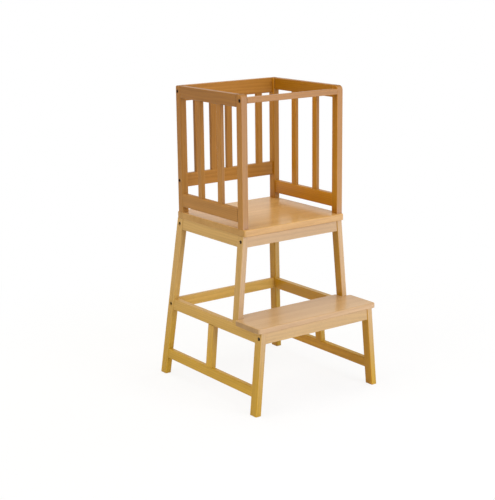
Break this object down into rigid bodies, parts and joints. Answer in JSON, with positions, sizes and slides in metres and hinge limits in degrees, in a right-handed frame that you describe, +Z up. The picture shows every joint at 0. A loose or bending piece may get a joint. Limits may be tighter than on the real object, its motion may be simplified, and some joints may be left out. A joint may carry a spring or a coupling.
{
  "type": "toddler kitchen helper stool",
  "caption": "Wooden step stool for a small child: a splayed frame carries a front step and a high standing platform inside a slatted guard cage with a front bar.",
  "frame": {"origin": "on the floor, at the centre of the rectangle that the four feet and the step cover", "axes": "+X to the right of a child who stands on the floor facing the step, +Y from the step side to the closed back of the cage, +Z up"},
  "size_m": [0.4576, 0.5068, 0.9],
  "materials": {
    "board_wood": "pale tan hardwood, satin clear lacquer",
    "frame_wood": "golden tan hardwood, fine straight grain, satin clear lacquer",
    "cage_wood": "warm brown-tan hardwood, fine straight grain, satin clear lacquer",
    "dowel_wood": "bare beech, glued in",
    "bolt_steel": "dark plated socket-head bolts",
    "nut_steel": "zinc plated",
    "screw_steel": "zinc plated"
  },
  "bodies": {
    "root": {"back_bottom_rail": "cage_wood", "back_slat_1": "cage_wood", "back_slat_2": "cage_wood", "back_slat_3": "cage_wood", "back_slat_4": "cage_wood", "back_slat_5": "cage_wood", "back_top_rail": "cage_wood", "barrel_nuts": "nut_steel", "board_screws": "screw_steel", "cage_dowels": "dowel_wood", "cross_pins": "dowel_wood", "frame_bolts": "bolt_steel", "front_apron": "frame_wood", "front_bar": "cage_wood", "left_bottom_rail": "cage_wood", "left_frame_dowels": "dowel_wood", "left_front_leg": "frame_wood", "left_front_post": "cage_wood", "left_lower_rail": "frame_wood", "left_mid_rail": "frame_wood", "left_rear_leg": "frame_wood", "left_rear_post": "cage_wood", "left_side_apron": "frame_wood", "left_slat_1": "cage_wood", "left_slat_2": "cage_wood", "left_step_leg": "frame_wood", "left_strut": "frame_wood", "left_top_rail": "cage_wood", "platform_board": "board_wood", "post_screws": "screw_steel", "rear_apron": "frame_wood", "rear_stretcher": "frame_wood", "right_bottom_rail": "cage_wood", "right_frame_dowels": "dowel_wood", "right_front_leg": "frame_wood", "right_front_post": "cage_wood", "right_lower_rail": "frame_wood", "right_mid_rail": "frame_wood", "right_rear_leg": "frame_wood", "right_rear_post": "cage_wood", "right_side_apron": "frame_wood", "right_slat_1": "cage_wood", "right_slat_2": "cage_wood", "right_step_leg": "frame_wood", "right_strut": "frame_wood", "right_top_rail": "cage_wood", "step_apron": "frame_wood", "step_board": "board_wood"}
  },
  "joints": []
}
